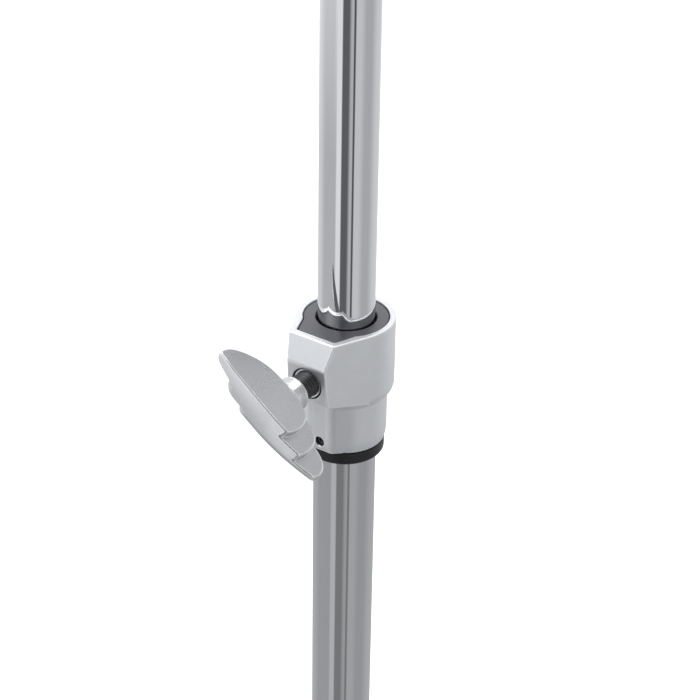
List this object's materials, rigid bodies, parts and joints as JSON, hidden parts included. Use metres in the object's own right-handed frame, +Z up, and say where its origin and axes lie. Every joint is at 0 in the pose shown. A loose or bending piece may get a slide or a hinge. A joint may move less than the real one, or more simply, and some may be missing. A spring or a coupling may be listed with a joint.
{
  "type": "straight cymbal stand",
  "caption": "Straight chrome cymbal stand: folding double-braced tripod, telescoping tubes, cast height clamps with stepped wing bolts, tilter and felts.",
  "frame": {"origin": "centre of the flat underside of the plug in the foot of the base tube, on the stand's axis", "axes": "+Z up along the tubes, -Y to the front, where the wing bolts of the clamps point"},
  "size_m": [0.6436, 0.5585, 1.1891],
  "materials": {
    "tube_chrome": "bright chrome plating",
    "cast_metal": "cast, blasted and plated, satin light grey",
    "wing_metal": "cast, tumbled to a satin silver",
    "zinc_steel": "zinc plated",
    "steel_black": "black oxide, slightly oiled",
    "plastic_dark": "moulded, dark blue grey",
    "plastic_black": "moulded, black",
    "rubber_black": "moulded rubber, matt",
    "felt_grey": "pressed wool felt"
  },
  "bodies": {
    "base": {"base_tube": "tube_chrome", "base_tube_plug": "rubber_black", "stay_collar": "cast_metal", "stay_1_foot_pin": "zinc_steel", "stay_2_foot_pin": "zinc_steel", "stay_3_foot_pin": "zinc_steel", "lower_clamp_body": "cast_metal", "lower_clamp_bushing": "plastic_dark", "lower_clamp_end_ring": "plastic_black", "lower_clamp_thread_insert": "zinc_steel", "lower_clamp_pin": "steel_black"},
    "stay_1": {"stay_1_left_strap": "tube_chrome", "stay_1_right_strap": "tube_chrome", "leg_1_middle_pin": "zinc_steel"},
    "stay_2": {"stay_2_left_strap": "tube_chrome", "stay_2_right_strap": "tube_chrome", "leg_2_middle_pin": "zinc_steel"},
    "stay_3": {"stay_3_left_strap": "tube_chrome", "stay_3_right_strap": "tube_chrome", "leg_3_middle_pin": "zinc_steel"},
    "leg_1": {"leg_1_left_strap": "tube_chrome", "leg_1_right_strap": "tube_chrome", "foot_1": "rubber_black"},
    "leg_2": {"leg_2_left_strap": "tube_chrome", "leg_2_right_strap": "tube_chrome", "foot_2": "rubber_black"},
    "leg_3": {"leg_3_left_strap": "tube_chrome", "leg_3_right_strap": "tube_chrome", "foot_3": "rubber_black"},
    "leg_slider": {"leg_collar": "cast_metal", "leg_collar_bushing": "plastic_black", "leg_1_top_pin": "zinc_steel", "leg_2_top_pin": "zinc_steel", "leg_3_top_pin": "zinc_steel"},
    "leg_slider_bolt": {"leg_collar_wing_bolt": "wing_metal"},
    "lower_shoe": {"lower_clamp_shoe": "plastic_black"},
    "lower_screw": {"lower_clamp_stud": "steel_black", "lower_clamp_wing": "wing_metal"},
    "middle_glide": {"middle_tube_glide": "plastic_black"},
    "middle": {"middle_tube": "tube_chrome", "upper_clamp_body": "cast_metal", "upper_clamp_bushing": "plastic_dark", "upper_clamp_end_ring": "plastic_black", "upper_clamp_thread_insert": "zinc_steel", "upper_clamp_pin": "steel_black"},
    "upper_shoe": {"upper_clamp_shoe": "plastic_black"},
    "upper_screw": {"upper_clamp_stud": "steel_black", "upper_clamp_wing": "wing_metal"},
    "top_glide": {"top_tube_glide": "plastic_black"},
    "top": {"top_tube": "tube_chrome", "tilter_base": "cast_metal", "tilter_nut": "zinc_steel"},
    "tilter": {"tilter_head": "cast_metal", "cymbal_rod": "tube_chrome", "cup_washer": "tube_chrome", "cymbal_sleeve": "plastic_black", "lower_felt": "felt_grey"},
    "tilter_bolt": {"tilter_wing_bolt": "wing_metal"},
    "felt_slider": {"upper_felt": "felt_grey"},
    "nut": {"wing_nut": "plastic_black"}
  },
  "joints": [
    {"name": "tripod_fold", "type": "hinge", "parent": "base", "child": "stay_1", "pos_m": [0, 0.027, 0.018], "axis": [1, 0, 0], "range_deg": [0, 52]},
    {"name": "leg_1_hinge", "type": "hinge", "parent": "stay_1", "child": "leg_1", "pos_m": [0, 0.16794, 0.11306], "axis": [1, 0, 0], "range_deg": [-104, 0]},
    {"name": "leg_slider_hinge", "type": "hinge", "parent": "leg_1", "child": "leg_slider", "pos_m": [0, 0.027, 0.20813], "axis": [1, 0, 0], "range_deg": [0, 52]},
    {"name": "stay_2_hinge", "type": "hinge", "parent": "base", "child": "stay_2", "pos_m": [-0.02338, -0.0135, 0.018], "axis": [-0.5, 0.866, 0], "range_deg": [0, 52]},
    {"name": "leg_2_hinge", "type": "hinge", "parent": "stay_2", "child": "leg_2", "pos_m": [-0.14544, -0.08397, 0.11306], "axis": [-0.5, 0.866, 0], "range_deg": [-104, 0]},
    {"name": "stay_3_hinge", "type": "hinge", "parent": "base", "child": "stay_3", "pos_m": [0.02338, -0.0135, 0.018], "axis": [-0.5, -0.866, 0], "range_deg": [0, 52]},
    {"name": "leg_3_hinge", "type": "hinge", "parent": "stay_3", "child": "leg_3", "pos_m": [0.14544, -0.08397, 0.11306], "axis": [-0.5, -0.866, 0], "range_deg": [-104, 0]},
    {"name": "leg_slider_bolt_turn", "type": "hinge", "parent": "leg_slider", "child": "leg_slider_bolt", "pos_m": [0, -0.03, 0.22413], "axis": [0, -1, 0], "range_deg": [0, 360]},
    {"name": "lower_shoe_slide", "type": "slide", "parent": "base", "child": "lower_shoe", "axis": [0, -1, 0], "range_m": [0, 0.00263]},
    {"name": "lower_wing_turn", "type": "hinge", "parent": "lower_shoe", "child": "lower_screw", "pos_m": [0, -0.03, 0.4996], "axis": [0, -1, 0], "range_deg": [0, 540]},
    {"name": "middle_tube_slide", "type": "slide", "parent": "base", "child": "middle_glide", "axis": [0, 0, 1], "range_m": [-0.23, 0.1]},
    {"name": "middle_tube_swivel", "type": "hinge", "parent": "middle_glide", "child": "middle", "pos_m": [0, 0, 0.32], "axis": [0, 0, 1], "continuous": true},
    {"name": "upper_shoe_slide", "type": "slide", "parent": "middle", "child": "upper_shoe", "axis": [0, -1, 0], "range_m": [0, 0.00263]},
    {"name": "upper_wing_turn", "type": "hinge", "parent": "upper_shoe", "child": "upper_screw", "pos_m": [0, -0.03, 0.7996], "axis": [0, -1, 0], "range_deg": [0, 540]},
    {"name": "top_tube_slide", "type": "slide", "parent": "middle", "child": "top_glide", "axis": [0, 0, 1], "range_m": [-0.16, 0.12]},
    {"name": "top_tube_swivel", "type": "hinge", "parent": "top_glide", "child": "top", "pos_m": [0, 0, 0.6], "axis": [0, 0, 1], "continuous": true},
    {"name": "tilter_tilt", "type": "hinge", "parent": "top", "child": "tilter", "pos_m": [0, 0, 1.031], "axis": [0, -1, 0], "range_deg": [-90, 90]},
    {"name": "tilter_bolt_turn", "type": "hinge", "parent": "tilter", "child": "tilter_bolt", "pos_m": [0, -0.01, 1.031], "axis": [0, -1, 0], "range_deg": [0, 360]},
    {"name": "upper_felt_slide", "type": "slide", "parent": "tilter", "child": "felt_slider", "axis": [0, 0, 1], "range_m": [0, 0.005]},
    {"name": "wing_nut_turn", "type": "hinge", "parent": "felt_slider", "child": "nut", "pos_m": [0, 0, 1.12], "axis": [0, 0, 1], "range_deg": [0, 1440]}
  ],
  "couplings": [
    {"joint": "leg_1_hinge", "follows": "tripod_fold", "ratio": -2},
    {"joint": "leg_slider_hinge", "follows": "tripod_fold", "ratio": 1},
    {"joint": "stay_2_hinge", "follows": "tripod_fold", "ratio": 1},
    {"joint": "leg_2_hinge", "follows": "tripod_fold", "ratio": -2},
    {"joint": "stay_3_hinge", "follows": "tripod_fold", "ratio": 1},
    {"joint": "leg_3_hinge", "follows": "tripod_fold", "ratio": -2},
    {"joint": "lower_wing_turn", "follows": "lower_shoe_slide", "rad_per_m": 3590.4},
    {"joint": "upper_wing_turn", "follows": "upper_shoe_slide", "rad_per_m": 3590.4},
    {"joint": "wing_nut_turn", "follows": "upper_felt_slide", "rad_per_m": 5026.5}
  ]
}
